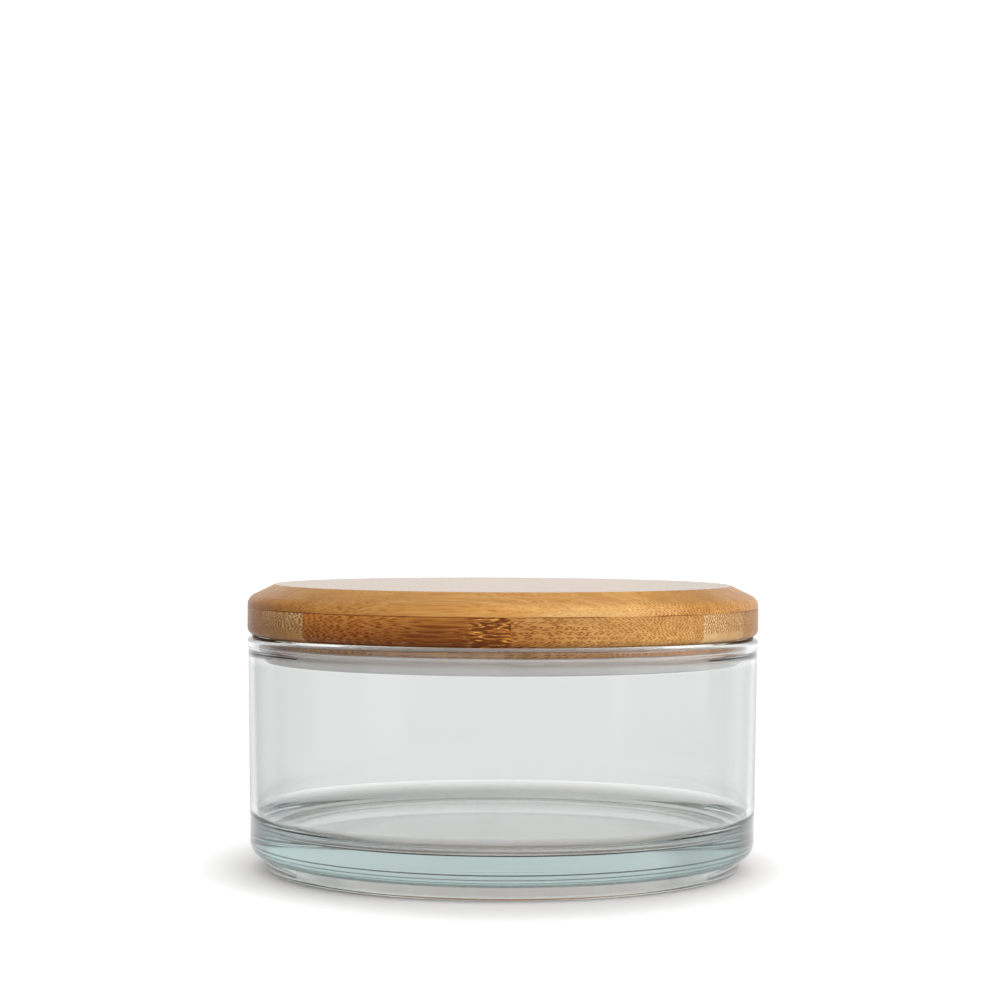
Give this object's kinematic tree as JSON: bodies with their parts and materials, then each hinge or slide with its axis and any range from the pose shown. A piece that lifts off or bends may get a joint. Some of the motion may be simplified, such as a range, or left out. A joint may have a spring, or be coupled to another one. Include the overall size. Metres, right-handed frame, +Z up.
{
  "type": "lidded glass canister",
  "caption": "Low round clear glass canister with a thick base on a foot ring, closed by a bevelled laminated bamboo plug lid with a translucent silicone band.",
  "frame": {"origin": "on the axis of rotation, on the plane that the foot ring stands on", "axes": "+Z up along the axis of rotation; the lid's bamboo strips run along X at rest, and -Y is the side the picture shows"},
  "size_m": [0.15, 0.15, 0.0829],
  "materials": {
    "glass": "clear soda-lime glass, faintly green through its thick base, polished",
    "silicone": "translucent milky silicone, smooth",
    "bamboo_top": "light caramel bamboo, oiled satin, strips along X",
    "bamboo_middle": "darker caramel bamboo, oiled satin, strips along X",
    "bamboo_plug": "caramel bamboo, oiled satin, strips along X"
  },
  "bodies": {
    "bowl": {"glass_bowl": "glass"},
    "seal": {"silicone_seal": "silicone"},
    "lid": {"lid_top_strip_1": "bamboo_top", "lid_top_strip_2": "bamboo_top", "lid_top_strip_3": "bamboo_top", "lid_top_strip_4": "bamboo_top", "lid_top_strip_5": "bamboo_top", "lid_top_strip_6": "bamboo_top", "lid_top_strip_7": "bamboo_top", "lid_top_strip_8": "bamboo_top", "lid_top_strip_9": "bamboo_top", "lid_middle_strip_1": "bamboo_middle", "lid_middle_strip_2": "bamboo_middle", "lid_middle_strip_3": "bamboo_middle", "lid_middle_strip_4": "bamboo_middle", "lid_middle_strip_5": "bamboo_middle", "lid_middle_strip_6": "bamboo_middle", "lid_middle_strip_7": "bamboo_middle", "lid_middle_strip_8": "bamboo_middle", "lid_plug_strip_1": "bamboo_plug", "lid_plug_strip_2": "bamboo_plug", "lid_plug_strip_3": "bamboo_plug", "lid_plug_strip_4": "bamboo_plug", "lid_plug_strip_5": "bamboo_plug", "lid_plug_strip_6": "bamboo_plug", "lid_plug_strip_7": "bamboo_plug", "lid_plug_strip_8": "bamboo_plug"}
  },
  "joints": [
    {"name": "lid_lift", "type": "slide", "parent": "bowl", "child": "seal", "axis": [0, 0, 1], "range_m": [0, 0.12]},
    {"name": "lid_turn", "type": "hinge", "parent": "seal", "child": "lid", "pos_m": [0, 0, 0.0682], "axis": [0, 0, 1], "continuous": true}
  ]
}
